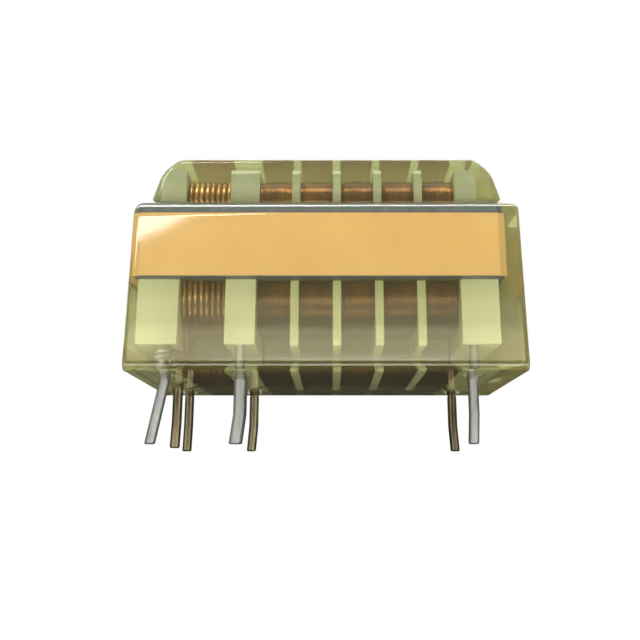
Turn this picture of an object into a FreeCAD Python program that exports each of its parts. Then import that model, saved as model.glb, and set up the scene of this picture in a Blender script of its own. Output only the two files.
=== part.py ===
import FreeCAD, Part
import math
import os
import re

import Sketcher
from FreeCAD import Vector

# A potted high-voltage transformer that stands on its pins.
# The origin is the middle of the resin's pin side face, +X runs along the bobbin and +Z away from the pins.

DRIVING = [
    # Bobbin, along X from the left flange to the right one
    ("section_count", 5, "sections of the secondary"),
    ("section_width", 2.28, "width of one secondary section"),
    ("partition_thickness", 0.55, "thin wall between two sections"),
    ("middle_flange", 2.0, "thick wall between primary and secondary"),
    ("primary_window", 3.1, "width of the primary's space"),
    ("end_plate", 0.55, "end flange inside the core window"),
    ("left_pin_block", 2.7, "left pin block along X"),
    ("right_pin_block", 2.5, "right pin block along X"),
    ("left_ledge", 1.75, "left flange over the core's back wall"),
    ("right_ledge", 1.5, "right flange over the core's back wall"),
    ("ledge_corner", 1.0, "rounded outer corner of both ledges"),
    ("tube_wall", 0.55, "wall of the winding tube"),
    ("pin_block_width", 13.2, "pin blocks from front to back"),
    ("pin_block_height", 4.3, "pin blocks from lower edge to core"),
    ("flange_rise", 3.4, "flanges above the core"),
    ("flange_bevel", 0.3, "bevelled corners of the flanges"),
    ("slot_width", 0.5, "cross-over slot in each partition"),
    ("slot_offset", 2.0, "cross-over slot behind the middle"),
    # Core
    ("centre_leg", 4.0, "centre leg from front to back"),
    ("winding_space", 4.0, "gap between centre and outer leg"),
    ("outer_leg", 2.0, "outer leg from front to back"),
    ("back_wall", 2.2, "wall that joins the legs"),
    ("core_thickness", 4.8, "core along Z"),
    ("core_bevel", 0.4, "bevelled outer corners of the core"),
    ("leg_play", 0.1, "gap round the centre leg"),
    ("end_play", 0.1, "gap between end plate and back wall"),
    ("flange_play", 0.25, "gap between flanges and outer legs"),
    ("ledge_play", 0.15, "gap between core and ledges"),
    # Tape round the core
    ("tape_width", 4.3, "width of the tape"),
    ("tape_thickness", 0.12, "thickness of the tape"),
    ("tape_rise", 0.05, "tape edge above the core's underside"),
    ("tape_lap", 7.0, "length that the tape's end lies on its start"),
    # Windings
    ("winding_bevel", 2.2, "bevelled corners of both windings"),
    ("primary_turns", 8, "turns side by side in the outer layer"),
    ("primary_wire", 0.38, "primary wire"),
    ("primary_build", 2.6, "depth of the primary on the tube"),
    ("turn_groove", 0.1, "depth of the groove between two turns"),
    ("secondary_build", 2.55, "depth of the secondary on the tube"),
    ("secondary_lead", 0.2, "lead and cross-over of the secondary"),
    ("lead_sink", 0.35, "how deep a lead starts in its winding"),
    ("lead_gap", 0.05, "gap between a lead and the flange beside it"),
    ("lead_drop", 0.5, "leads below the pin block"),
    ("lead_spread", 2.4, "outer leads from the middle"),
    ("solder_radius", 0.62, "solder round a pin"),
    ("solder_length", 1.1, "solder along the pin"),
    # Pins
    ("pin_diameter", 0.64, "bare pin"),
    ("tin_coat", 0.03, "tin on the free length of a pin"),
    ("thick_tin_coat", 0.12, "tin on the middle front pin"),
    ("pin_length", 4.5, "free length below the resin"),
    ("pin_depth", 3.0, "pin in its pin block"),
    ("pin_row_inset", 1.1, "front and back rows from the ends of the pin blocks"),
    ("left_pin_inset", 0.95, "left pins from the left winding face"),
    ("right_pin_inset", 0.8, "right pins from the right winding face"),
    ("pin_straight", 2.6, "pin below the resin before it leans"),
    ("bent_pin_straight", 0.42, "the same for the bent left front pin"),
    ("left_front_lean", -0.84, "sideways lean of the left front pin's end"),
    ("left_middle_lean", -0.08, "the same at the left middle pin"),
    ("left_back_lean", -0.06, "the same at the left back pin"),
    ("middle_front_lean", -0.28, "the same at the middle front pin"),
    ("middle_back_lean", -0.17, "the same at the middle back pin"),
    ("right_front_lean", -0.12, "the same at the right front pin"),
    ("right_back_lean", 0.15, "the same at the right back pin"),
    ("pin_spare", 0.3, "length cut off to level a pin"),
    ("tip_chamfer", 0.07, "broken edge of a pin's end"),
    # Resin
    ("pin_block_cover", 1.8, "resin under the flanges"),
    ("left_cover", 0.25, "resin left of the tape, at the seat"),
    ("right_cover", 1.1, "resin right of the tape, at the seat"),
    ("front_cover", 0.2, "resin before and behind the tape"),
    ("core_cover", 0.1, "resin over the core's upper edge"),
    ("shoulder_rise", 1.0, "rise of the sloping shoulder"),
    ("cap_cover", 0.6, "resin over the flanges"),
    ("cap_front_cover", 0.5, "resin before the upper flanges"),
    ("cap_setback", 0.75, "shoulder at both ends"),
    ("cap_lean", 0.3, "how far the cap's ends lean in"),
    ("cap_end_radius", 1.45, "rounded upper ends of the cap"),
    ("cap_front_radius", 0.7, "rounded upper front and back edges"),
    ("wall_draft", 0.8, "draft of the foot, in degrees"),
    ("seat_edge", 0.45, "rounded front and back edge of the seat"),
    ("creep_height", 0.36, "height that the resin creeps along a pin"),
    ("creep_spread", 0.4, "spread of that creep on the seat"),
    ("creep_overlap", 0.03, "how far the cone of the creep runs into the pin"),
]

DERIVED = [
    ("section_pitch", "section_width + partition_thickness"),
    (
        "tube_length",
        "2 * end_plate + primary_window + middle_flange"
        " + section_count * section_pitch - partition_thickness",
    ),
    ("core_length", "tube_length + 2 * end_play + 2 * back_wall"),
    ("core_width", "centre_leg + 2 * winding_space + 2 * outer_leg"),
    ("block_width", "left_cover + right_cover + core_length + 2 * tape_thickness"),
    ("block_depth", "core_width + 4 * tape_thickness + 2 * front_cover"),
    ("core_x", "left_cover + tape_thickness + core_length / 2 - block_width / 2"),
    ("left_face", "core_x - tube_length / 2 + end_plate"),
    ("middle_face", "left_face + primary_window"),
    ("first_section", "middle_face + middle_flange"),
    ("right_face", "core_x + tube_length / 2 - end_plate"),
    ("flange_bottom", "pin_block_cover"),
    ("core_bottom", "flange_bottom + pin_block_height"),
    ("core_middle", "core_bottom + core_thickness / 2"),
    ("core_top", "core_bottom + core_thickness"),
    ("flange_top", "core_top + flange_rise"),
    ("flange_width", "core_width - 2 * outer_leg - 2 * flange_play"),
    ("hole_width", "centre_leg + 2 * leg_play"),
    ("hole_height", "core_thickness + 2 * leg_play"),
    ("tube_width", "hole_width + 2 * tube_wall"),
    ("tube_height", "hole_height + 2 * tube_wall"),
    ("tube_bottom", "core_middle - tube_height / 2"),
    ("foot_height", "core_top + core_cover"),
    ("foot_inset", "foot_height * tan(wall_draft)"),
    ("cap_foot", "foot_height + shoulder_rise"),
    ("block_height", "flange_top + cap_cover"),
    ("cap_half_width", "block_width / 2 - foot_inset - cap_setback"),
    ("cap_depth", "flange_width + 2 * cap_front_cover"),
    ("left_pins", "left_face - left_pin_inset"),
    ("middle_pins", "middle_face + middle_flange / 2"),
    ("right_pins", "right_face + right_pin_inset"),
    ("front_row", "pin_row_inset - pin_block_width / 2"),
    ("back_row", "pin_block_width / 2 - pin_row_inset"),
    ("lead_height", "flange_bottom - lead_drop"),
    ("zero", "0 * pin_length"),
]

# Name, column, row, tin and straight length below the resin; each pin's lean is the alias of its name
PINS = [
    ("left_front", "left_pins", "front_row", "tin_coat", "bent_pin_straight"),
    ("left_middle", "left_pins", "zero", "tin_coat", "pin_straight"),
    ("left_back", "left_pins", "back_row", "tin_coat", "pin_straight"),
    ("middle_front", "middle_pins", "front_row", "thick_tin_coat", "pin_straight"),
    ("middle_back", "middle_pins", "back_row", "tin_coat", "pin_straight"),
    ("right_front", "right_pins", "front_row", "tin_coat", "pin_straight"),
    ("right_back", "right_pins", "back_row", "tin_coat", "pin_straight"),
]

# The pins that a winding is joined to
SOLDERED = ("left_front", "left_middle", "left_back", "middle_back", "right_back")

doc = FreeCAD.newDocument("Transformer")


def write_sheet():
    """Puts the driving sizes and what follows from them into the document's spreadsheet."""
    sheet = doc.addObject("Spreadsheet::Sheet", "Sizes")
    rows = [(alias, str(value), meaning) for alias, value, meaning in DRIVING]
    rows += [(alias, "=" + formula, "") for alias, formula in DERIVED]
    for row, (alias, content, meaning) in enumerate(rows, start=1):
        sheet.set(f"A{row}", meaning)
        sheet.set(f"B{row}", content)
        sheet.setAlias(f"B{row}", alias)
    doc.recompute()
    return sheet


sizes = write_sheet()


def size(expression):
    """The number that an expression in the sheet's aliases gives now."""
    return float(sizes.evalExpression(expression))


def bound(expression):
    """The same expression as another object of the document has to write it."""
    aliases = {row[0] for row in DRIVING} | {row[0] for row in DERIVED}
    return re.sub(r"[a-z_]+", lambda word: ("Sizes." if word[0] in aliases else "") + word[0], expression)


def add_sketch(body, name, plane, offset="0"):
    """An empty sketch on one of the body's own planes, moved along that plane's normal."""
    sketch = body.newObject("Sketcher::SketchObject", name)
    support = next(f for f in body.Origin.OriginFeatures if f.Role == plane)
    sketch.AttachmentSupport = (support, [""])
    sketch.MapMode = "FlatFace"
    sketch.setExpression("AttachmentOffset.Base.z", bound(offset))
    return sketch


def drive(sketch, kind, *where, by):
    """A constraint whose value is bound to an expression of the sheet."""
    index = sketch.addConstraint(Sketcher.Constraint(kind, *where, size(by)))
    sketch.setExpression(f"Constraints[{index}]", bound(by))


def draw_polygon(sketch, points):
    """A closed outline of straight lines with each corner at a pair of expressions."""
    corners = [Vector(size(u), size(v), 0) for u, v in points]
    first = len(sketch.Geometry)
    count = len(corners)
    lines = [Part.LineSegment(corners[i], corners[(i + 1) % count]) for i in range(count)]
    sketch.addGeometry(lines, False)
    for i, (u, v) in enumerate(points):
        line = first + i
        sketch.addConstraint(Sketcher.Constraint("Coincident", line, 2, first + (i + 1) % count, 1))
        drive(sketch, "DistanceX", -1, 1, line, 1, by=u)
        drive(sketch, "DistanceY", -1, 1, line, 1, by=v)


def draw_rectangle(sketch, left, right, low, high):
    """A rectangle between four expressions."""
    draw_polygon(sketch, [(left, low), (right, low), (right, high), (left, high)])


def draw_bevelled_rectangle(sketch, left, right, low, high, bevel):
    """A rectangle between four expressions with its four corners cut off."""
    points = [
        (f"{left} + {bevel}", low),
        (f"{right} - {bevel}", low),
        (right, f"{low} + {bevel}"),
        (right, f"{high} - {bevel}"),
        (f"{right} - {bevel}", high),
        (f"{left} + {bevel}", high),
        (left, f"{high} - {bevel}"),
        (left, f"{low} + {bevel}"),
    ]
    draw_polygon(sketch, points)


def draw_circle(sketch, across, up, radius):
    """A circle whose centre and radius are expressions."""
    centre = Vector(size(across), size(up), 0)
    circle = sketch.addGeometry(Part.Circle(centre, Vector(0, 0, 1), size(radius)), False)
    drive(sketch, "Radius", circle, by=radius)
    drive(sketch, "DistanceX", -1, 1, circle, 3, by=across)
    drive(sketch, "DistanceY", -1, 1, circle, 3, by=up)


def add_pad(body, name, sketch, length, both_ways=False, backwards=False):
    """A pad of a sketch whose length is an expression."""
    pad = body.newObject("PartDesign::Pad", name)
    pad.Profile = sketch
    pad.Midplane = both_ways
    pad.Reversed = backwards
    pad.setExpression("Length", bound(length))
    doc.recompute()
    return pad


def add_pocket(body, name, sketch, length, both_ways=False, backwards=False):
    """A pocket of a sketch, checked to have taken something away."""
    before = body.Shape.Volume
    pocket = body.newObject("PartDesign::Pocket", name)
    pocket.Profile = sketch
    pocket.Midplane = both_ways
    pocket.Reversed = backwards
    pocket.setExpression("Length", bound(length))
    doc.recompute()
    if body.Shape.Volume > before - 1e-6:
        raise ValueError(f"{name} cuts nothing")
    return pocket


def dress(body, kind, name, base, edges, value, by):
    """A fillet or chamfer of the edges that a test picks on the body's last feature."""
    feature = body.newObject(kind, name)
    found = [f"Edge{i}" for i, edge in enumerate(base.Shape.Edges, start=1) if edges(edge)]
    if not found:
        raise ValueError(f"{name} finds no edge")
    feature.Base = (base, found)
    feature.setExpression(value, bound(by))
    doc.recompute()
    return feature


def near(a, b):
    """Whether two lengths are the same within a hundredth of a millimetre."""
    return abs(a - b) < 0.01


def new_body(name):
    """A body whose label names its file."""
    body = doc.addObject("PartDesign::Body", name)
    body.Label = name
    return body


def make_core_half(name, side):
    """One E of ferrite: an outline on the horizontal plane, padded to the core's thickness."""
    body = new_body(name)
    outline = add_sketch(body, name + "_outline", "XY_Plane", "core_bottom")
    end = f"core_x + {side} * core_length / 2"
    wall = f"core_x + {side} * (core_length / 2 - back_wall)"
    leg = "centre_leg / 2"
    slot = "(core_width / 2 - outer_leg)"
    edge = "core_width / 2"
    corners = [
        (end, f"-{edge}"),
        ("core_x", f"-{edge}"),
        ("core_x", f"-{slot}"),
        (wall, f"-{slot}"),
        (wall, f"-{leg}"),
        ("core_x", f"-{leg}"),
        ("core_x", leg),
        (wall, leg),
        (wall, slot),
        ("core_x", slot),
        ("core_x", edge),
        (end, edge),
    ]
    draw_polygon(outline, corners)
    pad = add_pad(body, name + "_pad", outline, "core_thickness")

    def outer_corner(edge):
        at = edge.CenterOfMass
        upright = near(edge.BoundBox.XLength, 0) and near(edge.BoundBox.YLength, 0)
        return upright and near(at.x, size(end)) and near(abs(at.y), size("core_width / 2"))

    dress(body, "PartDesign::Chamfer", name + "_corners", pad, outer_corner, "Size", "core_bevel")
    return body


def make_tape():
    """The tape round the core's outside, with its end lapped over its start at the back."""
    body = new_body("core_tape")
    band = add_sketch(body, "tape_band", "XY_Plane", "core_bottom + tape_rise")
    inner = ["core_x - core_length / 2", "core_x + core_length / 2", "-core_width / 2", "core_width / 2"]
    outer = [
        "core_x - core_length / 2 - tape_thickness",
        "core_x + core_length / 2 + tape_thickness",
        "-core_width / 2 - tape_thickness",
        "core_width / 2 + tape_thickness",
    ]
    draw_bevelled_rectangle(band, *outer, "(core_bevel + tape_thickness * (2 - sqrt(2)))")
    draw_bevelled_rectangle(band, *inner, "core_bevel")
    add_pad(body, "tape_turn", band, "tape_width")
    lap = add_sketch(body, "tape_lap_outline", "XY_Plane", "core_bottom + tape_rise")
    back = "core_width / 2 + tape_thickness"
    draw_rectangle(lap, "core_x - tape_lap / 2", "core_x + tape_lap / 2", back, back + " + tape_thickness")
    add_pad(body, "tape_end", lap, "tape_width")
    return body


def add_flange(body, name, start, thickness):
    """One upright wall of the bobbin from front to back."""
    outline = add_sketch(body, name + "_outline", "YZ_Plane", start)
    half = "flange_width / 2"
    draw_bevelled_rectangle(outline, f"-{half}", half, "flange_bottom", "flange_top", "flange_bevel")
    return add_pad(body, name, outline, thickness)


def add_ledge(body, name, side, face, length):
    """The upper end of an end flange over the core's back wall, with its outer corner rounded."""
    outline = add_sketch(body, name + "_outline", "XZ_Plane")
    inner = size(face)
    outer = size(f"{face} + {side} * {length}")
    low = size("core_top + ledge_play")
    high = size("flange_top")
    radius = size("ledge_corner")
    centre = Vector(outer - side * radius, high - radius, 0)
    start, end = (0, math.pi / 2) if side > 0 else (math.pi / 2, math.pi)
    arc = Part.ArcOfCircle(Part.Circle(centre, Vector(0, 0, 1), radius), start, end)
    outer_end = 1 if side > 0 else 2
    top_end = 3 - outer_end
    lines = [
        Part.LineSegment(Vector(inner, low, 0), Vector(outer, low, 0)),
        Part.LineSegment(Vector(outer, low, 0), Vector(outer, high - radius, 0)),
        Part.LineSegment(Vector(centre.x, high, 0), Vector(inner, high, 0)),
        Part.LineSegment(Vector(inner, high, 0), Vector(inner, low, 0)),
    ]
    outline.addGeometry([*lines, arc], False)
    outline.addConstraint(Sketcher.Constraint("Coincident", 0, 2, 1, 1))
    outline.addConstraint(Sketcher.Constraint("Tangent", 1, 2, 4, outer_end))
    outline.addConstraint(Sketcher.Constraint("Tangent", 2, 1, 4, top_end))
    outline.addConstraint(Sketcher.Constraint("Coincident", 2, 2, 3, 1))
    outline.addConstraint(Sketcher.Constraint("Coincident", 3, 2, 0, 1))
    outline.addConstraint(Sketcher.Constraint("Horizontal", 0))
    outline.addConstraint(Sketcher.Constraint("Vertical", 1))
    outline.addConstraint(Sketcher.Constraint("Horizontal", 2))
    outline.addConstraint(Sketcher.Constraint("Vertical", 3))
    drive(outline, "Radius", 4, by="ledge_corner")
    drive(outline, "DistanceX", -1, 1, 0, 1, by=face)
    drive(outline, "DistanceX", -1, 1, 0, 2, by=f"{face} + {side} * {length}")
    drive(outline, "DistanceY", -1, 1, 0, 1, by="core_top + ledge_play")
    drive(outline, "DistanceY", -1, 1, 2, 2, by="flange_top")
    return add_pad(body, name, outline, "flange_width", both_ways=True)


def make_bobbin():
    """The bobbin: winding tube, end flanges with pin blocks, middle flange and slotted partitions."""
    body = new_body("bobbin")
    tube = add_sketch(body, "tube_outline", "YZ_Plane", "left_face - end_plate")
    half = "tube_width / 2"
    upper = "tube_bottom + tube_height"
    draw_rectangle(tube, f"-{half}", half, "tube_bottom", upper)
    add_pad(body, "tube", tube, "tube_length")

    partition = add_flange(body, "partition", "first_section + section_width", "partition_thickness")
    row = body.newObject("PartDesign::LinearPattern", "partitions")
    row.Originals = [partition]
    row.Direction = (next(f for f in body.Origin.OriginFeatures if f.Role == "X_Axis"), [""])
    row.setExpression("Occurrences", bound("section_count - 1"))
    row.setExpression("Length", bound("(section_count - 2) * section_pitch"))
    body.Tip = row
    doc.recompute()

    add_flange(body, "left_plate", "left_face - end_plate", "end_plate")
    add_flange(body, "middle_plate", "middle_face", "middle_flange")
    add_flange(body, "right_plate", "right_face", "end_plate")
    add_ledge(body, "left_ledge", -1, "left_face", "left_ledge")
    add_ledge(body, "right_ledge", 1, "right_face", "right_ledge")

    blocks = add_sketch(body, "pin_block_outlines", "XY_Plane", "flange_bottom")
    ends = [
        ("left_face - left_pin_block", "left_face"),
        ("middle_face", "first_section"),
        ("right_face", "right_face + right_pin_block"),
    ]
    for left, right in ends:
        draw_rectangle(blocks, left, right, "-pin_block_width / 2", "pin_block_width / 2")
    add_pad(body, "pin_blocks", blocks, "pin_block_height")

    hole = add_sketch(body, "leg_hole_outline", "YZ_Plane", "left_face - end_plate")
    side = "hole_width / 2"
    draw_rectangle(hole, f"-{side}", side, "core_bottom - leg_play", "core_top + leg_play")
    add_pocket(body, "leg_hole", hole, "tube_length", backwards=True)

    slot = add_sketch(body, "slot_outline", "XY_Plane", "flange_bottom")
    near_edge = "slot_offset - slot_width / 2"
    draw_rectangle(slot, "first_section", "right_face", near_edge, near_edge + " + slot_width")
    add_pocket(body, "slots", slot, "tube_bottom - flange_bottom", backwards=True)

    holes = add_sketch(body, "pin_hole_outlines", "XY_Plane", "flange_bottom")
    for _, column, row, *_ in PINS:
        draw_circle(holes, column, row, "pin_diameter / 2")
    add_pocket(body, "pin_holes", holes, "pin_depth", backwards=True)
    return body


def draw_winding_outline(sketch, build):
    """The bevelled outline of a winding of some depth on the tube."""
    half = f"(tube_width / 2 + {build})"
    low = f"(tube_bottom - ({build}))"
    high = f"(tube_bottom + tube_height + {build})"
    draw_bevelled_rectangle(sketch, f"-{half}", half, low, high, "winding_bevel")


def add_coil_ring(body, name, start, width, build):
    """Wire wound on the tube, as one ring."""
    outline = add_sketch(body, name + "_outline", "YZ_Plane", start)
    draw_winding_outline(outline, build)
    half = "tube_width / 2"
    draw_rectangle(outline, f"-{half}", half, "tube_bottom", "tube_bottom + tube_height")
    return add_pad(body, name, outline, width)


def make_primary_coil():
    """The primary: a ring with one ridge for each turn of its outer layer."""
    body = new_body("primary_coil")
    level = "primary_build - turn_groove"
    add_coil_ring(body, "primary_layers", "left_face", "primary_window", level)
    pitch = "primary_window / primary_turns"
    groove = f"tube_width / 2 + {level}"
    end = "left_face + primary_window"
    points = [(end, f"{groove} - turn_groove"), ("left_face", f"{groove} - turn_groove")]
    for turn in range(int(size("primary_turns"))):
        start = f"left_face + {turn} * {pitch}"
        points.append((start, groove))
        points.append((f"{start} + {pitch} / 2", f"{groove} + turn_groove"))
    points.append((end, groove))
    section = add_sketch(body, "primary_turn_section", "XY_Plane", "core_middle")
    draw_polygon(section, points)
    path = add_sketch(body, "primary_turn_path", "YZ_Plane", "left_face")
    draw_winding_outline(path, level)
    doc.recompute()
    sweep = body.newObject("PartDesign::AdditivePipe", "primary_turns")
    sweep.Profile = section
    sweep.Spine = (path, [f"Edge{i}" for i in range(1, len(path.Shape.Edges) + 1)])
    sweep.Transition = "Right corner"
    doc.recompute()
    return body


def make_section_coil(number):
    """One section of the secondary."""
    body = new_body(f"section_coil_{number}")
    start = f"first_section + {number - 1} * section_pitch"
    add_coil_ring(body, f"section_{number}", start, "section_width", "secondary_build")
    return body


def make_pin(place, column, row, coat, straight):
    """A pin: a bare shank in its block, then the tinned length, straight at first and leaning below."""
    name = "pin_" + place
    body = new_body(name)
    body.setExpression("Placement.Base.x", bound(column))
    body.setExpression("Placement.Base.y", bound(row))
    shank = add_sketch(body, name + "_shank_outline", "XY_Plane", "-creep_height")
    draw_circle(shank, "zero", "zero", "pin_diameter / 2")
    add_pad(body, name + "_shank", shank, "creep_height + flange_bottom + pin_depth")

    path = add_sketch(body, name + "_path", "XZ_Plane")
    lean = place + "_lean"
    corners = [("zero", "-creep_height"), ("zero", f"-{straight}"), (lean, "-pin_length - pin_spare")]
    ends = [Vector(size(u), size(v), 0) for u, v in corners]
    path.addGeometry([Part.LineSegment(ends[0], ends[1]), Part.LineSegment(ends[1], ends[2])], False)
    path.addConstraint(Sketcher.Constraint("Coincident", 0, 2, 1, 1))
    for line, point, (u, v) in zip((0, 0, 1), (1, 2, 2), corners):
        drive(path, "DistanceX", -1, 1, line, point, by=u)
        drive(path, "DistanceY", -1, 1, line, point, by=v)
    section = add_sketch(body, name + "_section", "XY_Plane", "-creep_height")
    draw_circle(section, "zero", "zero", f"pin_diameter / 2 + {coat}")
    doc.recompute()
    tinned = body.newObject("PartDesign::AdditivePipe", name + "_tinned")
    tinned.Profile = section
    tinned.Spine = (path, ["Edge1", "Edge2"])
    tinned.Transition = "Right corner"
    doc.recompute()

    trim = add_sketch(body, name + "_trim_outline", "XY_Plane", "-pin_length")
    draw_circle(trim, "zero", "zero", "pin_length")
    cut = add_pocket(body, name + "_end", trim, "pin_length")

    def tip_edge(edge):
        return near(edge.BoundBox.ZMin, -size("pin_length")) and near(edge.BoundBox.ZLength, 0)

    dress(body, "PartDesign::Chamfer", name + "_end_edge", cut, tip_edge, "Size", "tip_chamfer")
    return body


def make_lead(name, leave_x, leave_y, column, row, wire, build):
    """A lead from the underside of a winding down past the pin block and across to its pin."""
    start = Vector(size(leave_x), size(leave_y), size(f"tube_bottom - {build} + lead_sink"))
    low = Vector(start.x, start.y, size("lead_height"))
    pin = Vector(size(column), size(row), low.z)
    path = doc.addObject("Part::Polygon", name + "_path")
    path.Nodes = [start, low, pin]
    section = doc.addObject("Part::RegularPolygon", name + "_section")
    section.Polygon = 8
    section.setExpression("Circumradius", bound(f"{wire} / 2"))
    section.Placement.Base = start
    doc.recompute()
    lead = doc.addObject("Part::Sweep", name)
    lead.Sections = [section]
    lead.Spine = (path, ["Edge1", "Edge2"])
    lead.Solid = True
    lead.Transition = "Right corner"
    return lead


def join(kind, name, *parts):
    """A boolean of two or more objects."""
    result = doc.addObject(kind, name)
    if kind == "Part::Cut":
        result.Base, result.Tool = parts
    else:
        result.Shapes = list(parts)
    result.Label = name
    doc.recompute()
    return result


def make_solder(place, column, row):
    """The sleeve of solder at the root of a pin, where the end of a winding is wrapped round it."""
    sleeve = doc.addObject("Part::Cylinder", f"sleeve_{place}")
    sleeve.setExpression("Radius", bound("solder_radius"))
    sleeve.setExpression("Height", bound("solder_length"))
    sleeve.setExpression("Placement.Base.x", bound(column))
    sleeve.setExpression("Placement.Base.y", bound(row))
    sleeve.setExpression("Placement.Base.z", bound("flange_bottom - solder_length"))
    return sleeve


def make_winding(name, coils, leads, sleeves):
    """Coils and leads as one wire, each lead ending on the outside of its solder."""
    winding = join("Part::MultiFuse", name + "_wire", *coils, *leads)
    for sleeve in sleeves:
        winding = join("Part::Cut", f"{name}_at_{sleeve.Name}", winding, sleeve)
    return winding


def make_primary_winding(sleeves):
    """The primary with its start, tap and finish leads to the three left pins."""
    leave = "left_face + primary_wire / 2 + lead_gap"
    leads = [
        make_lead(f"primary_{end}_lead", leave, leave_y, "left_pins", row, "primary_wire", "primary_build")
        for end, row, leave_y in (
            ("start", "front_row", "-lead_spread"),
            ("tap", "zero", "lead_spread / 4"),
            ("finish", "back_row", "lead_spread"),
        )
    ]
    return make_winding("primary", [make_primary_coil()], leads, sleeves)


def make_secondary_winding(sleeves):
    """The secondary: its sections, a cross-over in each partition's slot and two leads to back pins."""
    count = int(size("section_count"))
    coils = [make_section_coil(number) for number in range(1, count + 1)]
    for number in range(1, count):
        crossing = doc.addObject("Part::Prism", f"crossing_{number}")
        crossing.Polygon = 8
        crossing.setExpression("Circumradius", bound("secondary_lead / 2"))
        crossing.setExpression("Height", bound("partition_thickness + 2 * lead_sink"))
        wall = f"first_section + {number} * section_pitch - partition_thickness"
        crossing.Placement.Rotation = FreeCAD.Rotation(Vector(0, 1, 0), 90)
        crossing.setExpression("Placement.Base.x", bound(f"{wall} - lead_sink"))
        crossing.setExpression("Placement.Base.y", bound("slot_offset"))
        crossing.setExpression("Placement.Base.z", bound("tube_bottom - secondary_build + lead_sink"))
        coils.append(crossing)
    inset = "(secondary_lead / 2 + lead_gap)"
    wire = ("secondary_lead", "secondary_build")
    leads = [
        make_lead(f"secondary_{end}_lead", leave, "lead_spread", column, "back_row", *wire)
        for end, leave, column in (
            ("start", f"first_section + {inset}", "middle_pins"),
            ("finish", f"right_face - {inset}", "right_pins"),
        )
    ]
    return make_winding("secondary", coils, leads, sleeves)


def make_creep(place, column, row, coat):
    """The cone of resin that has crept along a pin where it leaves the block."""
    cone = doc.addObject("Part::Cone", f"creep_{place}")
    cone.setExpression("Radius1", bound("pin_diameter / 2 - creep_overlap"))
    cone.setExpression("Radius2", bound(f"pin_diameter / 2 + {coat} + creep_spread"))
    cone.setExpression("Height", bound("creep_height"))
    cone.setExpression("Placement.Base.x", bound(column))
    cone.setExpression("Placement.Base.y", bound(row))
    cone.setExpression("Placement.Base.z", bound("-creep_height"))
    return cone


def make_resin_outside():
    """The whole cast block: drafted foot, sloping shoulder, rounded cap and creep at the pins."""
    body = doc.addObject("PartDesign::Body", "resin_outside")
    cap = add_sketch(body, "cap_outline", "XZ_Plane")
    low, high = "core_middle", "block_height"
    top_half = "(cap_half_width - cap_lean)"
    corners = [
        ("-cap_half_width", "cap_foot"),
        ("-cap_half_width", low),
        ("cap_half_width", low),
        ("cap_half_width", "cap_foot"),
        (top_half, high),
        (f"-{top_half}", high),
    ]
    draw_polygon(cap, corners)
    raised = add_pad(body, "cap", cap, "cap_depth", both_ways=True)

    def end_edge(edge):
        box = edge.BoundBox
        top = near(box.ZMin, size("block_height")) and near(box.ZLength, 0)
        return top and near(box.XLength, 0)

    ends = dress(body, "PartDesign::Fillet", "cap_ends", raised, end_edge, "Radius", "cap_end_radius")

    def front_edge(edge):
        box = edge.BoundBox
        level = near(box.ZMin, size("block_height")) and near(box.ZLength, 0)
        return level and near(box.YLength, 0)

    dress(body, "PartDesign::Fillet", "cap_rims", ends, front_edge, "Radius", "cap_front_radius")

    outlines = []
    levels = [
        ("seat", "0 * foot_height", "block_width / 2", "block_depth / 2"),
        ("foot_top", "foot_height", "block_width / 2 - foot_inset", "block_depth / 2 - foot_inset"),
        ("cap_foot", "cap_foot", "cap_half_width", "cap_depth / 2"),
    ]
    for name, height, half_width, half_depth in levels:
        outline = add_sketch(body, name + "_level", "XY_Plane", height)
        draw_rectangle(outline, f"-({half_width})", half_width, f"-({half_depth})", half_depth)
        outlines.append(outline)
    doc.recompute()
    foot = body.newObject("PartDesign::AdditiveLoft", "foot")
    foot.Profile = outlines[0]
    foot.Sections = outlines[1:]
    foot.Ruled = True
    doc.recompute()

    def seat_edge(edge):
        box = edge.BoundBox
        level = near(box.ZMin, 0) and near(box.ZLength, 0)
        return level and near(box.YLength, 0)

    dress(body, "PartDesign::Fillet", "seat_edges", foot, seat_edge, "Radius", "seat_edge")

    creep = [make_creep(place, column, row, coat) for place, column, row, coat, _ in PINS]
    return join("Part::MultiFuse", "resin_with_creep", body, *creep)


def check(subparts):
    """Stops the script if an object failed, or if a sub-part isn't one sound solid."""
    for item in doc.Objects:
        if "Invalid" in item.State or "Error" in item.State:
            raise ValueError(f"{item.Name} failed: {item.State}")
    for name, item in subparts.items():
        shape = item.Shape
        if shape.isNull() or not shape.isValid() or len(shape.Solids) != 1:
            raise ValueError(f"{name} isn't one valid solid")


def main():
    subparts = {}
    for name, side in (("core_half_left", -1), ("core_half_right", 1)):
        subparts[name] = make_core_half(name, side)
    subparts["core_tape"] = make_tape()
    subparts["bobbin"] = make_bobbin()
    for pin in PINS:
        subparts["pin_" + pin[0]] = make_pin(*pin)
    soldered = [pin for pin in PINS if pin[0] in SOLDERED]
    sleeves = {place: make_solder(place, column, row) for place, column, row, *_ in soldered}
    doc.recompute()
    left_sleeves = [sleeve for place, sleeve in sleeves.items() if place.startswith("left")]
    other_sleeves = [sleeve for place, sleeve in sleeves.items() if not place.startswith("left")]
    subparts["primary_winding"] = make_primary_winding(left_sleeves)
    subparts["secondary_winding"] = make_secondary_winding(other_sleeves)
    for place, sleeve in sleeves.items():
        name = "solder_" + place
        subparts[name] = join("Part::Cut", name, sleeve, subparts["pin_" + place])
    resin = make_resin_outside()
    for name, item in subparts.items():
        resin = join("Part::Cut", "resin_round_" + name, resin, item)
    subparts["resin_block"] = resin
    doc.recompute()
    check(subparts)
    os.makedirs("parts", exist_ok=True)
    for name, item in subparts.items():
        item.Shape.exportStep(os.path.join("parts", name + ".step"))


main()
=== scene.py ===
import math
import random

import bpy
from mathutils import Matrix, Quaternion, Vector, noise


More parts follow.
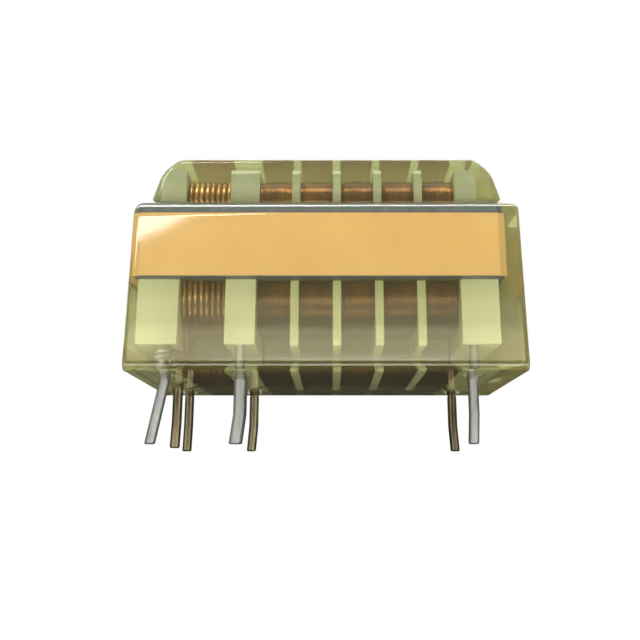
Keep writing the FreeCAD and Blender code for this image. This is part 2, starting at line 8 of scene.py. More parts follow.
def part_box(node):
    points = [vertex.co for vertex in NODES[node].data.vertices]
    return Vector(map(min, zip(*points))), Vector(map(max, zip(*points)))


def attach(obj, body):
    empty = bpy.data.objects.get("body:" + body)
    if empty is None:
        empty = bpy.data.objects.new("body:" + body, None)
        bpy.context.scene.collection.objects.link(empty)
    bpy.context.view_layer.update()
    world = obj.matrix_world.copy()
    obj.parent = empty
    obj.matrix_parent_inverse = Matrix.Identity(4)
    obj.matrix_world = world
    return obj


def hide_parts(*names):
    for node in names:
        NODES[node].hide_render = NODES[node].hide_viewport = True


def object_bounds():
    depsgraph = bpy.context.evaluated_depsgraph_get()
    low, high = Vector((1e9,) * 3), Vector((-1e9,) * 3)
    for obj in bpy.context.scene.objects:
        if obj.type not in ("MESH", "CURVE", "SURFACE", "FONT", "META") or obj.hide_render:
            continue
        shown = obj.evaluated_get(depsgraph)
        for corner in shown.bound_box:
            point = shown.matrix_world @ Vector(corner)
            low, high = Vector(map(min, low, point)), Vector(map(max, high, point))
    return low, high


# Every length is in metres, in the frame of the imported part: +X along the bobbin, +Z away from the pins.
MM = 0.001

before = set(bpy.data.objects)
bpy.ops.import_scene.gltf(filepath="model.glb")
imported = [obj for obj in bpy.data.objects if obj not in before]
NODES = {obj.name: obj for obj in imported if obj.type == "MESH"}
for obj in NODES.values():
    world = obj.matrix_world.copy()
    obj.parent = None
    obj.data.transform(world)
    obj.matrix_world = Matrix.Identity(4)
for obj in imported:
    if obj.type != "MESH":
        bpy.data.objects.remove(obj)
cad_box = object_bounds()

# The picture that the camera is fitted to, in pixels
PICTURE = 640
FOCAL_PIXELS = 902
PRINCIPAL = (332, 240)
SENSOR = 36

# Camera
CAMERA_AT = Vector((0.38, -65.65, -7.44)) * MM
CAMERA_PITCH = math.radians(15.55)

# Resin: a drafted foot, a sloping shoulder whose edge is rounder at the left, and a cap whose ends curl in
BLOCK_HALF = Vector((12.995, 8.44)) * MM
DRAFT = math.tan(math.radians(0.8))
SEAT_EDGE = 0.45 * MM
FOOT_TOP = 11.0 * MM
CAP_FOOT = 12.0 * MM
CAP_HALF = Vector((12.09, 6.25)) * MM
CAP_LEAN = 0.33
CAP_CURL = 0.9 * MM
CURL_START = 13.4 * MM
CAP_EDGE = 0.12 * MM
CURL_POWER = 2.2
CAP_OVERHANG = 0.05
BLOCK_TOP = 14.9 * MM
CORNER = 0.22 * MM
SHOULDER_ROUND = 0.45 * MM
SHOULDER_ROUND_MORE = 0.175 * MM
SHOULDER_LENGTH = 2 * MM
CREEP_HEIGHT = 0.3 * MM
CREEP_SPREAD = 0.6 * MM
CREEP_POWER = 2.5

# How finely the resin's skin is divided
LONG_SIDE_STEPS = 120
SHORT_SIDE_STEPS = 80
UPRIGHT_EDGE_STEPS = 4
SEAT_RINGS = 60
SEAT_EDGE_RINGS = 6
WALL_RINGS = 10
SHOULDER_RINGS = 8
CAP_RINGS = 16
CAP_EDGE_RINGS = 4
TOP_RINGS = 12
# Two rings close to the wall's ends keep it flat between them
WALL_END = 0.01
SHARP_ANGLE = math.radians(30)

# Windings
TUBE_HALF = 2.65 * MM
TUBE_RISE = 3.05 * MM
BUILD = 2.6 * MM
COIL_CORNER = 2.6 * MM
TURNS = 8
WIRE_RADIUS = 0.19 * MM
PRIMARY_WINDOW = 3.1 * MM
MIDDLE_FLANGE = 2.0 * MM
SECTIONS = 5
SECTION_WIDTH = 2.28 * MM
SECTION_PITCH = 2.83 * MM
FINE_WIRES = 20
FINE_RADIUS = 0.1 * MM
FINE_RIDGE = 0.035 * MM
FINE_RIDGE_STEPS = 4
LAYER_CROWN = 0.1 * MM
LAYER_WAVE = 0.04 * MM
LAYER_END = 0.12 * MM
CORNER_STEPS = 14
LEAD_PLACES = (-2.4 * MM, 0.6 * MM, 2.4 * MM)
LEAD_SIDES = 8

# Pins
PIN_RADIUS = 0.32 * MM
PIN_ROW = 5.5 * MM
LEFT_PINS = -10.725 * MM
MIDDLE_PINS = -5.675 * MM
RIGHT_PINS = 9.725 * MM
PINS = {
    "left_front": (LEFT_PINS, -PIN_ROW),
    "left_middle": (LEFT_PINS, 0),
    "left_back": (LEFT_PINS, PIN_ROW),
    "middle_front": (MIDDLE_PINS, -PIN_ROW),
    "middle_back": (MIDDLE_PINS, PIN_ROW),
    "right_front": (RIGHT_PINS, -PIN_ROW),
    "right_back": (RIGHT_PINS, PIN_ROW),
}
WRAP_TOP = 1.3 * MM
WRAP_STEPS = 16

# Solder beads
BEAD_ROWS = 18
BEAD_SIDES = 28
BEAD_THICKNESS = 0.22 * MM
BEAD_LUMPS = 0.1 * MM
BEAD_SEEDS = {place: 7.3 * index for index, place in enumerate(PINS)}

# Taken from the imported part
core_low, core_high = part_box("core_half_left")
CORE_MIDDLE = (core_low.z + core_high.z) / 2
PRIMARY_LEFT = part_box("primary_winding")[1].x - PRIMARY_WINDOW

# Looks
WHITE = (1, 1, 1, 1)
NOISE_ROUGHNESS = 0.55
RESIN_TINT = (0.86, 0.8, 0.1, 1)
RESIN_TINT_DENSITY = 140
RESIN_HAZE = (1, 0.88, 0.45, 1)
RESIN_HAZE_DENSITY = 100
RESIN_SHADOW = (0.8, 0.8, 0.76, 1)
# Painted shade: the bobbin's colour grows darker from this height on, over this distance
SHADE_FROM = 10.8 * MM
SHADE_OVER = 3 * MM

# The floor is clear from this distance on, over this distance
FLOOR_HALF = 0.6
FLOOR_FADE_FROM = 0.04
FLOOR_FADE_OVER = 0.1

# The surroundings: what they give as light, and how bright they look in metal and resin, which see them
# dark below one height of the direction and bright above another
SKY_COLOUR = (0.93, 0.97, 1, 1)
SKY_LIGHT = 0.3
DARK_BELOW = -0.05
DARK_LIGHT = 0.03
WHITE_ABOVE = 0.6
WHITE_LIGHT = 0.6

# Lamps: name, place, the point they face, width and height, power, roll in degrees and colour
CENTRE = (0, 0, 0.007)
FOOT = (0, -0.008, 0.001)
UPPER_LEFT = (-0.0125, -0.008, 0.009)
PLAIN = (1, 1, 1)
WARM = (1, 0.92, 0.6)
LAMPS = [
    ("left", (-0.17, -0.15, -0.05), CENTRE, (0.12, 0.12), 0.16, 0, PLAIN),
    ("right", (0.17, -0.15, -0.05), CENTRE, (0.12, 0.12), 0.16, 0, PLAIN),
    ("below", (0, -0.16, -0.11), CENTRE, (0.3, 0.1), 0.5, 0, PLAIN),
    ("over", (0, 0, 0.18), CENTRE, (0.28, 0.06), 0.55, 0, PLAIN),
    ("behind", (0, 0.2, 0.15), CENTRE, (0.24, 0.16), 0.2, 0, PLAIN),
    # The front face mirrors the rest: the glare at its upper left corner,
    # the streak along its foot and the veil over that
    ("window", (-0.0455, -0.2068, 0.083), UPPER_LEFT, (0.06, 0.011), 0.029, 32, PLAIN),
    ("streak", (0.002, -0.25, 0.04), FOOT, (0.084, 0.003), 0.0042, 0, PLAIN),
    ("veil", (0, -0.252, 0.0495), FOOT, (0.2, 0.026), 0.028, 0, WARM),
    ("thicker_veil", (0, -0.254, 0.0445), FOOT, (0.2, 0.017), 0.03, 0, WARM),
]


def add_mesh(name, vertices, faces):
    """A smoothly shaded mesh object with the given corners and faces."""
    mesh = bpy.data.meshes.new(name)
    mesh.from_pydata([tuple(v) for v in vertices], [], faces)
    mesh.update()
    for polygon in mesh.polygons:
        polygon.use_smooth = True
    piece = bpy.data.objects.new(name, mesh)
    bpy.context.scene.collection.objects.link(piece)
    return piece


class Shader:
    """A node material with short calls for what the finishes here have in common."""

    def __init__(self, name):
        self.material = bpy.data.materials.new(name)
        self.material.use_nodes = True
        self.nodes = self.material.node_tree.nodes
        self.links = self.material.node_tree.links
        self.surface = self.nodes["Principled BSDF"]
        self.output = self.nodes["Material Output"]
        self.place = self.add("ShaderNodeTexCoord").outputs["Object"]

    def add(self, kind, **settings):
        node = self.nodes.new(kind)
        for key, value in settings.items():
            setattr(node, key, value)
        return node

    def set(self, **values):
        for key, value in values.items():
            self.surface.inputs[key.replace("_", " ")].default_value = value

    def noise(self, scale, detail=4, stretch=(1, 1, 1)):
        mapping = self.add("ShaderNodeMapping")
        mapping.inputs["Scale"].default_value = stretch
        self.links.new(self.place, mapping.inputs["Vector"])
        texture = self.add("ShaderNodeTexNoise")
        texture.inputs["Scale"].default_value = scale
        texture.inputs["Detail"].default_value = detail
        texture.inputs["Roughness"].default_value = NOISE_ROUGHNESS
        self.links.new(mapping.outputs["Vector"], texture.inputs["Vector"])
        return texture.outputs["Fac"]

    def ramp(self, factor, *stops):
        node = self.add("ShaderNodeValToRGB")
        ramp = node.color_ramp
        while len(ramp.elements) < len(stops):
            ramp.elements.new(0.5)
        for element, (position, colour) in zip(ramp.elements, stops):
            element.position = position
            element.color = (*colour, 1)
        self.links.new(factor, node.inputs["Fac"])
        return node.outputs["Color"]

    def math(self, operation, *values, clamp=False):
        node = self.add("ShaderNodeMath", operation=operation, use_clamp=clamp)
        for socket, value in zip(node.inputs, values):
            if isinstance(value, (int, float)):
                socket.default_value = value
            else:
                self.links.new(value, socket)
        return node.outputs["Value"]

    def mix(self, factor, first, second):
        """Two sockets and a plain colour; the node's colour sockets share their names, so they go by number."""
        node = self.add("ShaderNodeMix", data_type="RGBA")
        self.links.new(factor, node.inputs["Factor"])
        self.links.new(first, node.inputs[6])
        node.inputs[7].default_value = (*second, 1)
        return node.outputs[2]

    def colour(self, socket):
        self.links.new(socket, self.surface.inputs["Base Color"])

    def rough(self, socket):
        self.links.new(socket, self.surface.inputs["Roughness"])

    def bump(self, height, distance, strength=1.0):
        node = self.add("ShaderNodeBump")
        node.inputs["Distance"].default_value = distance
        node.inputs["Strength"].default_value = strength
        self.links.new(height, node.inputs["Height"])
        self.links.new(node.outputs["Normal"], self.surface.inputs["Normal"])

    def surface_or(self, other, factor):
        """Shows the other shader instead of the surface where the factor is 1."""
        switch = self.add("ShaderNodeMixShader")
        self.links.new(factor, switch.inputs["Fac"])
        self.links.new(self.surface.outputs["BSDF"], switch.inputs[1])
        self.links.new(other.outputs["BSDF"], switch.inputs[2])
        self.links.new(switch.outputs["Shader"], self.output.inputs["Surface"])


def paint(piece, shader):
    """Gives a piece one finish."""
    piece.data.materials.clear()
    piece.data.materials.append(shader.material)
    for polygon in piece.data.polygons:
        polygon.material_index = 0


def make_resin_finish():
    """Clear yellow-green casting resin that colours light on its way through."""
    resin = Shader("cast_resin")
    resin.set(Base_Color=WHITE, Roughness=0.055, IOR=1.52, Transmission_Weight=1.0)
    resin.bump(resin.noise(120, detail=2), 0.04 * MM, 0.3)
    clear = resin.add("ShaderNodeBsdfTransparent")
    clear.inputs["Color"].default_value = RESIN_SHADOW
    path = resin.add("ShaderNodeLightPath")
    resin.surface_or(clear, path.outputs["Is Shadow Ray"])
    tint = resin.add("ShaderNodeVolumeAbsorption")
    tint.inputs["Color"].default_value = RESIN_TINT
    tint.inputs["Density"].default_value = RESIN_TINT_DENSITY
    haze = resin.add("ShaderNodeVolumeScatter")
    haze.inputs["Color"].default_value = RESIN_HAZE
    haze.inputs["Density"].default_value = RESIN_HAZE_DENSITY
    haze.inputs["Anisotropy"].default_value = 0.2
    both = resin.add("ShaderNodeAddShader")
    resin.links.new(tint.outputs["Volume"], both.inputs[0])
    resin.links.new(haze.outputs["Volume"], both.inputs[1])
    resin.links.new(both.outputs["Shader"], resin.output.inputs["Volume"])
    return resin


def make_bobbin_finish():
    """Pale green moulding compound with faint flow marks, with painted shade that darkens its colour above the
    core.
    """
    bobbin = Shader("bobbin_moulding")
    bobbin.set(Roughness=0.5)
    cloud = bobbin.noise(450, stretch=(1, 1, 0.5))
    pale = bobbin.ramp(cloud, (0.3, (0.52, 0.53, 0.31)), (0.7, (0.6, 0.61, 0.37)))
    height = bobbin.add("ShaderNodeSeparateXYZ")
    bobbin.links.new(bobbin.place, height.inputs["Vector"])
    # Painted shade: from SHADE_FROM up, the colour is mixed towards a darker green that stands in for the shade
    # above the core
    above = bobbin.math("MULTIPLY_ADD", height.outputs["Z"], 1 / SHADE_OVER, -SHADE_FROM / SHADE_OVER, clamp=True)
    bobbin.colour(bobbin.mix(above, pale, (0.25, 0.28, 0.15)))
    bobbin.bump(bobbin.noise(2500, detail=2), 0.01 * MM, 0.6)
    return bobbin


def make_ferrite_finish():
    """Sintered ferrite, dark slate with a fine grain."""
    ferrite = Shader("ferrite")
    grain = ferrite.noise(1800, detail=6)
    ferrite.colour(ferrite.ramp(grain, (0.3, (0.045, 0.06, 0.058)), (0.75, (0.09, 0.11, 0.105))))
    ferrite.set(Roughness=0.45)
    ferrite.bump(ferrite.noise(4000), 0.02 * MM, 0.7)
    return ferrite


def make_tape_finish():
    """Orange-tan polyester tape with fine lengthwise streaks."""
    tape = Shader("polyester_tape")
    streaks = tape.noise(900, stretch=(0.06, 0.06, 1.0))
    cloud = tape.noise(160, detail=3)
    warm = tape.ramp(cloud, (0.3, (0.5, 0.295, 0.078)), (0.75, (0.55, 0.35, 0.098)))
    tape.colour(tape.mix(tape.math("MULTIPLY", streaks, 0.35), warm, (0.6, 0.42, 0.15)))
    tape.set(Roughness=0.4)
    tape.bump(streaks, 0.02 * MM, 0.5)
    return tape


def make_copper_finish(name, dark, light):
    """Enamelled copper wire."""
    copper = Shader(name)
    tone = copper.noise(700, detail=3, stretch=(1, 0.3, 0.3))
    copper.colour(copper.ramp(tone, (0.3, dark), (0.72, light)))
    copper.set(Metallic=0.88, Roughness=0.22)
    copper.bump(copper.noise(3000, detail=2), 0.01 * MM, 0.4)
    return copper


def make_metal_finish(name, dark, light, roughness):
    """Tinned or soldered metal with smears and pits."""
    metal = Shader(name)
    smear = metal.noise(900, detail=5, stretch=(1, 1, 0.25))
    metal.colour(metal.ramp(smear, (0.32, dark), (0.7, light)))
    metal.set(Metallic=1.0)
    metal.rough(metal.math("MULTIPLY_ADD", smear, 0.25, roughness - 0.12))
    metal.bump(metal.noise(2200, detail=4, stretch=(1, 1, 0.35)), 0.03 * MM, 0.7)
    return metal


resin_finish = make_resin_finish()
bobbin_finish = make_bobbin_finish()
ferrite_finish = make_ferrite_finish()
tape_finish = make_tape_finish()
primary_finish = make_copper_finish("primary_enamel", (0.24, 0.11, 0.035), (0.62, 0.36, 0.12))
secondary_finish = make_copper_finish("secondary_enamel", (0.08, 0.03, 0.009), (0.28, 0.13, 0.035))
silver_finish = make_metal_finish("tinned_wire", (0.28, 0.28, 0.27), (0.46, 0.46, 0.44), 0.5)
bronze_finish = make_metal_finish("soldered_wire", (0.1, 0.08, 0.045), (0.34, 0.28, 0.17), 0.34)
solder_finish = make_metal_finish("dull_solder", (0.3, 0.28, 0.22), (0.6, 0.57, 0.48), 0.42)


def unit_ring(along_x, along_y, corner_steps):
    """Places round a rectangle: the share of each half side, and the way out of the rounded corner."""
    places = []
    corners = [(1, -1, -1), (1, 1, 0), (-1, 1, 1), (-1, -1, 2)]
    for index, (x, y, quarter) in enumerate(corners):
        count = along_x if index % 2 == 0 else along_y
        from_x, from_y = corners[index - 1][:2]
        out = ((0, -1), (1, 0), (0, 1), (-1, 0))[index]
        for step in range(count):
            t = step / count
            places.append((from_x + (x - from_x) * t, from_y + (y - from_y) * t, *out))
        for step in range(corner_steps):
            angle = (quarter + step / corner_steps) * math.pi / 2
            places.append((x, y, math.cos(angle), math.sin(angle)))
    return places


def creep(x, y):
    """How far the resin hangs down near a pin."""
    reach = min(math.hypot(x - pin[0], y - pin[1]) for pin in PINS.values()) - PIN_RADIUS
    share = min(max(1 - reach / CREEP_SPREAD, 0), 1)
    return CREEP_HEIGHT * share**CREEP_POWER


def cap_half_x(z):
    """Half the cap's length at a height: its ends lean in and then curl over."""
    curl = max(0, (z - CURL_START) / (BLOCK_TOP - CURL_START)) ** CURL_POWER
    return CAP_HALF.x - CAP_LEAN * (z - CAP_FOOT) - CAP_CURL * curl


def make_resin_shell():
    """The resin's whole outside as one closed skin, ring by ring from the seat to the top."""
    places = unit_ring(LONG_SIDE_STEPS, SHORT_SIDE_STEPS, UPRIGHT_EDGE_STEPS)
    rings = []

    def add_ring(level):
        ring = []
        for x, y, out_x, out_y in places:
            half_x, half_y, corner, z = level(x)
            ring.append(Vector((x * (half_x - corner) + out_x * corner, y * (half_y - corner) + out_y * corner, z)))
        rings.append(ring)
        return ring

    for step in range(1, SEAT_RINGS + 1):
        share = step / SEAT_RINGS
        half_x, half_y = BLOCK_HALF.x * share, (BLOCK_HALF.y - SEAT_EDGE) * share
        for vertex in add_ring(lambda x: (half_x, half_y, CORNER * share, 0)):
            vertex.z = -creep(vertex.x, vertex.y)
    for step in range(1, SEAT_EDGE_RINGS + 1):
        angle = step * math.pi / (2 * SEAT_EDGE_RINGS)
        z = SEAT_EDGE * (1 - math.cos(angle))
        half_y = BLOCK_HALF.y - SEAT_EDGE * (1 - math.sin(angle)) - z * DRAFT
        add_ring(lambda x: (BLOCK_HALF.x - z * DRAFT, half_y, CORNER, z))

    foot_half = BLOCK_HALF - Vector((1, 1)) * FOOT_TOP * DRAFT

    def edge_round(x):
        return SHOULDER_ROUND + SHOULDER_ROUND_MORE * (1 - x)

    def wall(x, share):
        z = SEAT_EDGE + (FOOT_TOP - edge_round(x) - SEAT_EDGE) * share
        return (BLOCK_HALF.x - z * DRAFT, BLOCK_HALF.y - z * DRAFT, CORNER, z)

    def edge(x, share):
        reach = edge_round(x)
        below = Vector((foot_half.x + reach * DRAFT, foot_half.y + reach * DRAFT, FOOT_TOP - reach))
        corner = Vector((*foot_half, FOOT_TOP))
        above = corner.lerp(Vector((*CAP_HALF, CAP_FOOT)), reach / SHOULDER_LENGTH)
        place = below.lerp(corner, share).lerp(corner.lerp(above, share), share)
        return (place.x, place.y, CORNER, place.z)

    for share in (WALL_END, *(step / WALL_RINGS for step in range(1, WALL_RINGS)), 1 - WALL_END, 1):
        add_ring(lambda x: wall(x, share))
    for step in range(1, SHOULDER_RINGS + 1):
        add_ring(lambda x: edge(x, step / SHOULDER_RINGS))
    for step in range(CAP_RINGS + 1):
        z = CAP_FOOT + (BLOCK_TOP - CAP_EDGE - CAP_FOOT) * step / CAP_RINGS
        add_ring(lambda x: (cap_half_x(z), CAP_HALF.y + CAP_OVERHANG * (z - CAP_FOOT), CORNER, z))
    cap_top_y = CAP_HALF.y + CAP_OVERHANG * (BLOCK_TOP - CAP_EDGE - CAP_FOOT)
    for step in range(1, CAP_EDGE_RINGS + 1):
        angle = step * math.pi / (2 * CAP_EDGE_RINGS)
        z = BLOCK_TOP - CAP_EDGE * (1 - math.sin(angle))
        add_ring(lambda x: (cap_half_x(z), cap_top_y - CAP_EDGE * (1 - math.cos(angle)), CORNER, z))
    top_half = Vector((cap_half_x(BLOCK_TOP), cap_top_y - CAP_EDGE))
    for step in range(TOP_RINGS - 1, 0, -1):
        share = step / TOP_RINGS
        add_ring(lambda x: (top_half.x * share, top_half.y * share, CORNER * share, BLOCK_TOP))

    count = len(places)
    faces = [tuple(reversed(range(count)))]
    for low in range(0, (len(rings) - 1) * count, count):
        for i in range(count):
            j = (i + 1) % count
            faces.append((low + i, low + j, low + count + j, low + count + i))
    faces.append(tuple(range((len(rings) - 1) * count, len(rings) * count)))
    shell = add_mesh("resin_shell", [vertex for ring in rings for vertex in ring], faces)
    shell.data.set_sharp_from_angle(angle=SHARP_ANGLE)
    return shell


def rounded_loop(half, low, high, corner):
    """Points and outward directions round a rectangle with rounded corners, on the YZ plane."""
    loop = []
    centres = [
        (half - corner, high - corner, 0),
        (-half + corner, high - corner, 1),
        (-half + corner, low + corner, 2),
        (half - corner, low + corner, 3),
    ]
    for y, z, quarter in centres:
        for step in range(CORNER_STEPS + 1):
            angle = (quarter + step / CORNER_STEPS) * math.pi / 2
            way = Vector((0, math.cos(angle), math.sin(angle)))
            loop.append((Vector((0, y, z)) + way * corner, way))
    return loop


def tube_along(points, radius, sides=10, closed=False):
    """Vertices and faces of a round wire along a run of points."""
    vertices = []
    faces = []
    count = len(points)
    side_way = None
    for i, point in enumerate(points):
        before = points[i - 1] if (closed or i > 0) else point
        after = points[(i + 1) % count] if (closed or i < count - 1) else point
        way = (after - before).normalized()
        if side_way is None:
            side_way = way.orthogonal().normalized()
        side_way = (side_way - way * side_way.dot(way)).normalized()
        up = way.cross(side_way)
        for side in range(sides):
            angle = 2 * math.pi * side / sides
            vertices.append(point + (side_way * math.cos(angle) + up * math.sin(angle)) * radius)
    for i in range(count if closed else count - 1):
        j = (i + 1) % count
        for side in range(sides):
            other = (side + 1) % sides
            faces.append((i * sides + side, i * sides + other, j * sides + other, j * sides + side))
    if not closed:
        faces.append(tuple(reversed(range(sides))))
        faces.append(tuple((count - 1) * sides + side for side in range(sides)))
    return vertices, faces


def smooth_route(corners, steps=8):
    """A soft line through a few corners."""
    points = []
    for i in range(len(corners) - 1):
        p0 = corners[max(i - 1, 0)]
        p1, p2 = corners[i], corners[i + 1]
        p3 = corners[min(i + 2, len(corners) - 1)]
        for step in range(steps):
            t = step / steps
            linear = (p2 - p0) * t
            square = (2 * p0 - 5 * p1 + 4 * p2 - p3) * t**2
            cube = (3 * p1 - p0 - 3 * p2 + p3) * t**3
            points.append(0.5 * (2 * p1 + linear + square + cube))
    points.append(corners[-1])
    return points


def merge_parts(parts):
    """Several lists of vertices and faces as one."""
    vertices = []
    faces = []
    for part_vertices, part_faces in parts:
        base = len(vertices)
        vertices += part_vertices
        faces += [tuple(index + base for index in face) for face in part_faces]
    return vertices, faces


def add_lead(leads, wraps, start, pin, radius, turns):
    """A lead that drops from a winding and crosses to its pin, and its tinned end wound round the pin."""
    reach = PIN_RADIUS + radius
    low = Vector((start.x, start.y, WRAP_TOP + radius))
    towards = Vector((pin[0] - start.x, pin[1] - start.y, 0)).normalized()
    side = Vector((-towards.y, towards.x, 0))
    touch = Vector((*pin, low.z)) + side * reach
    route = smooth_route([start, (start + low) / 2, low + towards * radius, (low + touch) / 2, touch])
    leads.append(tube_along(route, radius, sides=LEAD_SIDES))
    first = math.atan2(side.y, side.x)
    wrap = []
    for step in range(WRAP_STEPS * turns + 1):
        angle = first - 2 * math.pi * step / WRAP_STEPS
        drop = 2 * radius * step / WRAP_STEPS
        wrap.append(Vector((pin[0] + reach * math.cos(angle), pin[1] + reach * math.sin(angle), low.z - drop)))
    wraps.append(tube_along(wrap, radius * 1.1, sides=LEAD_SIDES))


def add_winding(name, finish, parts, node):
    """The wires of a winding in place of its plain solid."""
    piece = add_mesh(name, *merge_parts(parts))
    paint(piece, finish)
    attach(piece, "root")
    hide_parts(node)


def make_primary(wraps):
    """Eight turns of thick wire side by side, over a plain inner layer, and their three leads."""
    pitch = PRIMARY_WINDOW / TURNS
    half = TUBE_HALF + BUILD
    low, high = CORE_MIDDLE - TUBE_RISE - BUILD, CORE_MIDDLE + TUBE_RISE + BUILD
    parts = []
    rng = random.Random(3)
    for turn in range(TURNS):
        x = PRIMARY_LEFT + (turn + 0.5) * pitch
        inset = WIRE_RADIUS + rng.uniform(0.0, 0.05) * MM
        loop = rounded_loop(half - inset, low + inset, high - inset, COIL_CORNER)
        sway = rng.uniform(-1, 1) * 0.015 * MM
        points = [point + Vector((x + sway, 0, 0)) for point, _ in loop]
        parts.append(tube_along(points, WIRE_RADIUS * 0.99, closed=True))
    inset = 2.2 * WIRE_RADIUS
    under = rounded_loop(half - inset, low + inset, high - inset, COIL_CORNER - WIRE_RADIUS)
    count = len(under)
    ends = (PRIMARY_LEFT, PRIMARY_LEFT + PRIMARY_WINDOW)
    vertices = [point + Vector((x, 0, 0)) for x in ends for point, _ in under]
    faces = [(i, (i + 1) % count, count + (i + 1) % count, count + i) for i in range(count)]
    parts.append((vertices, faces))
    for place, leave_y in zip(("left_front", "left_middle", "left_back"), LEAD_PLACES):
        start = Vector((PRIMARY_LEFT + 1.2 * WIRE_RADIUS, leave_y, low + WIRE_RADIUS))
        add_lead(parts, wraps, start, PINS[place], WIRE_RADIUS * 0.9, 2)
    add_winding("primary_turns", primary_finish, parts, "primary_winding")


def make_secondary(wraps):
    """Five sections of fine wire, each with an uneven outer layer, and the two leads."""
    half = TUBE_HALF + BUILD
    low, high = CORE_MIDDLE - TUBE_RISE - BUILD, CORE_MIDDLE + TUBE_RISE + BUILD
    first = PRIMARY_LEFT + PRIMARY_WINDOW + MIDDLE_FLANGE
    rng = random.Random(11)
    parts = []
    for section in range(SECTIONS):
        start = first + section * SECTION_PITCH
        loop = rounded_loop(half, low, high, COIL_CORNER)
        wires = [rng.uniform(0.0, 0.12) * MM for _ in range(FINE_WIRES)]
        sway = [rng.uniform(-1, 1) for _ in range(4)]
        profile = []
        for wire in range(FINE_WIRES):
            for within in range(FINE_RIDGE_STEPS):
                t = (wire + within / FINE_RIDGE_STEPS) / FINE_WIRES
                ridge = FINE_RIDGE * abs(math.sin(math.pi * within / FINE_RIDGE_STEPS))
                crown = LAYER_CROWN * (2 * t - 1) ** 4
                profile.append((t * SECTION_WIDTH, ridge - wires[wire] * 0.7 - crown - FINE_RIDGE))
        profile.append((SECTION_WIDTH, -LAYER_END))
        vertices = []
        for step, (point, way) in enumerate(loop):
            turn = 2 * math.pi * step / len(loop)
            wave = LAYER_WAVE * (sway[0] * math.sin(turn + sway[1]) + sway[2] * math.sin(2 * turn + sway[3]) - 1)
            for x, depth in profile:
                vertices.append(point + way * (depth + wave) + Vector((start + x, 0, 0)))
        rows, columns = len(loop), len(profile)
        faces = []
        for row in range(rows):
            after = (row + 1) % rows
            for column in range(columns - 1):
                a, b = row * columns + column, after * columns + column
                faces.append((a, a + 1, b + 1, b))
        parts.append((vertices, faces))
    last = first + SECTIONS * SECTION_PITCH - (SECTION_PITCH - SECTION_WIDTH)
    for place, leave_x in (("middle_back", first + 1.5 * FINE_RADIUS), ("right_back", last - 1.5 * FINE_RADIUS)):
        start = Vector((leave_x, LEAD_PLACES[2], low + FINE_RADIUS))
        add_lead(parts, wraps, start, PINS[place], FINE_RADIUS, 3)
    add_winding("secondary_turns", secondary_finish, parts, "secondary_winding")


def make_bead(place):
    """The lump of solder on a wrapped pin."""
    node = "solder_" + place
    low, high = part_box(node)
    x, y = PINS[place]
    shift = BEAD_SEEDS[place]
    vertices = []
    for row in range(BEAD_ROWS + 1):
        t = row / BEAD_ROWS
        swell = math.sin(math.pi * (0.04 + 0.92 * t)) ** 0.6
        for side in range(BEAD_SIDES):
            angle = 2 * math.pi * side / BEAD_SIDES
            way = Vector((math.cos(angle), math.sin(angle), 0))
            lump = noise.noise(way * 1.3 + Vector((shift, 0, 3 * t)))
            radius = PIN_RADIUS + (BEAD_THICKNESS + BEAD_LUMPS * lump) * swell
            vertices.append(Vector((x, y, low.z + (high.z - low.z) * t)) + way * radius)
    faces = []
    for row in range(BEAD_ROWS):
        for side in range(BEAD_SIDES):
            a, b = row * BEAD_SIDES + side, row * BEAD_SIDES + (side + 1) % BEAD_SIDES
            faces.append((a, b, b + BEAD_SIDES, a + BEAD_SIDES))
    faces.append(tuple(reversed(range(BEAD_SIDES))))
    faces.append(tuple(BEAD_ROWS * BEAD_SIDES + side for side in range(BEAD_SIDES)))
    bead = add_mesh(node + "_bead", vertices, faces)
    paint(bead, solder_finish)
    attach(bead, "root")
    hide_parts(node)


shell = make_resin_shell()
paint(shell, resin_finish)
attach(shell, "root")
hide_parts("resin_block")
tinned_ends = []
make_primary(tinned_ends)
make_secondary(tinned_ends)
for node_name in NODES:
    if node_name.startswith("solder_"):
        make_bead(node_name.removeprefix("solder_"))
wound_ends = add_mesh("tinned_ends", *merge_parts(tinned_ends))
paint(wound_ends, solder_finish)
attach(wound_ends, "root")

for node_name, node in NODES.items():
    if node_name == "bobbin":
        paint(node, bobbin_finish)
    elif node_name.startswith("core_half"):
        paint(node, ferrite_finish)
    elif node_name == "core_tape":
        paint(node, tape_finish)
    elif node_name.startswith("solder"):
        paint(node, solder_finish)
    elif node_name.startswith("pin"):
        paint(node, silver_finish if node_name.endswith("front") else bronze_finish)


def make_floor():
    """A pale floor round the part, seen from above only, because the camera looks from just below it."""
    corners = [(x * FLOOR_HALF, y * FLOOR_HALF, 0) for x, y in ((-1, -1), (1, -1), (1, 1), (-1, 1))]
    floor = add_mesh("floor", corners, [(0, 1, 2, 3)])
    floor.location.z = cad_box[0].z
    pale = Shader("pale_floor")
    pale.set(Base_Color=(0.86, 0.86, 0.86, 1), Roughness=0.9)
    clear = pale.add("ShaderNodeBsdfTransparent")
    side = pale.add("ShaderNodeNewGeometry")
    path = pale.add("ShaderNodeLightPath")
    away = pale.add("ShaderNodeVectorMath", operation="LENGTH")
    pale.links.new(pale.place, away.inputs[0])
    distance = away.outputs["Value"]
    faded = pale.math("MULTIPLY_ADD", distance, 1 / FLOOR_FADE_OVER, -FLOOR_FADE_FROM / FLOOR_FADE_OVER, clamp=True)
    unseen = side.outputs["Backfacing"]
    for kind in ("Is Glossy Ray", "Is Transmission Ray", "Is Shadow Ray"):
        unseen = pale.math("MAXIMUM", unseen, path.outputs[kind])
    pale.surface_or(clear, pale.math("MAXIMUM", unseen, faded))
    paint(floor, pale)


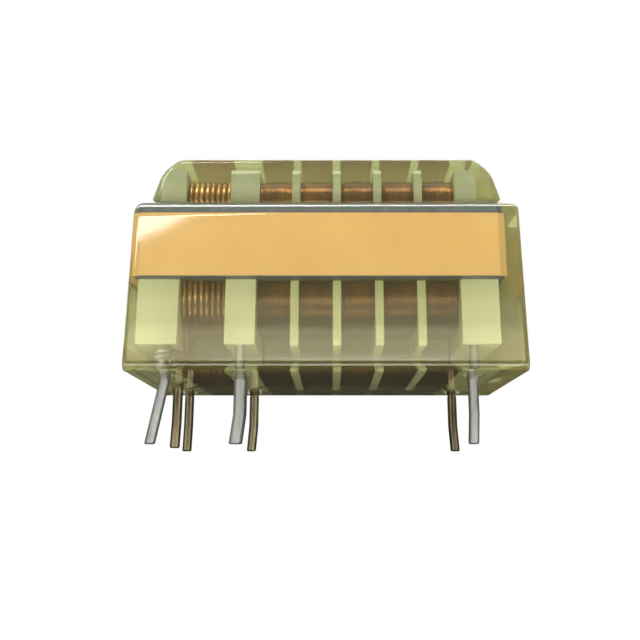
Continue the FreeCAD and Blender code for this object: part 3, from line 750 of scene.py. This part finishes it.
def make_world():
    """White behind the part; metal and resin show it too, above a dark table."""
    world = bpy.data.worlds.new("studio")
    bpy.context.scene.world = world
    world.use_nodes = True
    nodes, links = world.node_tree.nodes, world.node_tree.links
    nodes.clear()
    output = nodes.new("ShaderNodeOutputWorld")
    lit = nodes.new("ShaderNodeBackground")
    lit.inputs["Color"].default_value = SKY_COLOUR
    lit.inputs["Strength"].default_value = SKY_LIGHT
    seen = nodes.new("ShaderNodeBackground")
    seen.inputs["Color"].default_value = WHITE
    shown = nodes.new("ShaderNodeBackground")
    place = nodes.new("ShaderNodeTexCoord")
    split = nodes.new("ShaderNodeSeparateXYZ")
    height = nodes.new("ShaderNodeMapRange")
    height.interpolation_type = "SMOOTHSTEP"
    height.inputs["From Min"].default_value = DARK_BELOW
    height.inputs["From Max"].default_value = WHITE_ABOVE
    height.inputs["To Min"].default_value = DARK_LIGHT
    height.inputs["To Max"].default_value = WHITE_LIGHT
    links.new(place.outputs["Generated"], split.inputs["Vector"])
    links.new(split.outputs["Z"], height.inputs["Value"])
    links.new(height.outputs["Result"], shown.inputs["Strength"])
    path = nodes.new("ShaderNodeLightPath")
    either = nodes.new("ShaderNodeMath")
    either.operation = "MAXIMUM"
    links.new(path.outputs["Is Glossy Ray"], either.inputs[0])
    links.new(path.outputs["Is Transmission Ray"], either.inputs[1])
    through = nodes.new("ShaderNodeMixShader")
    links.new(either.outputs["Value"], through.inputs["Fac"])
    links.new(lit.outputs["Background"], through.inputs[1])
    links.new(shown.outputs["Background"], through.inputs[2])
    switch = nodes.new("ShaderNodeMixShader")
    links.new(path.outputs["Is Camera Ray"], switch.inputs["Fac"])
    links.new(through.outputs["Shader"], switch.inputs[1])
    links.new(seen.outputs["Background"], switch.inputs[2])
    links.new(switch.outputs["Shader"], output.inputs["Surface"])


def add_lamp(name, place, target, extent, power, roll, colour):
    """A soft panel of light that faces a point."""
    data = bpy.data.lights.new(name, "AREA")
    data.shape = "RECTANGLE"
    data.size, data.size_y = extent
    data.energy = power
    data.color = colour
    lamp = bpy.data.objects.new(name, data)
    lamp.location = Vector(place)
    lamp.rotation_mode = "QUATERNION"
    facing = (Vector(place) - Vector(target)).to_track_quat("Z", "Y")
    lamp.rotation_quaternion = facing @ Quaternion((0, 0, 1), math.radians(roll))
    bpy.context.scene.collection.objects.link(lamp)


def make_camera():
    """The camera that the picture was taken with, as far as its perspective shows it."""
    data = bpy.data.cameras.new("camera")
    data.sensor_width = SENSOR
    data.lens = FOCAL_PIXELS * SENSOR / PICTURE
    data.shift_x = (PICTURE / 2 - PRINCIPAL[0]) / PICTURE
    data.shift_y = (PRINCIPAL[1] - PICTURE / 2) / PICTURE
    data.clip_start = 0.001
    data.clip_end = 10
    camera = bpy.data.objects.new("camera", data)
    camera.location = CAMERA_AT
    camera.rotation_euler = (math.pi / 2 + CAMERA_PITCH, 0, 0)
    bpy.context.scene.collection.objects.link(camera)
    bpy.context.scene.camera = camera


make_floor()
make_world()
make_camera()
for lamp_row in LAMPS:
    add_lamp(*lamp_row)

bpy.context.scene.view_settings.view_transform = "Standard"
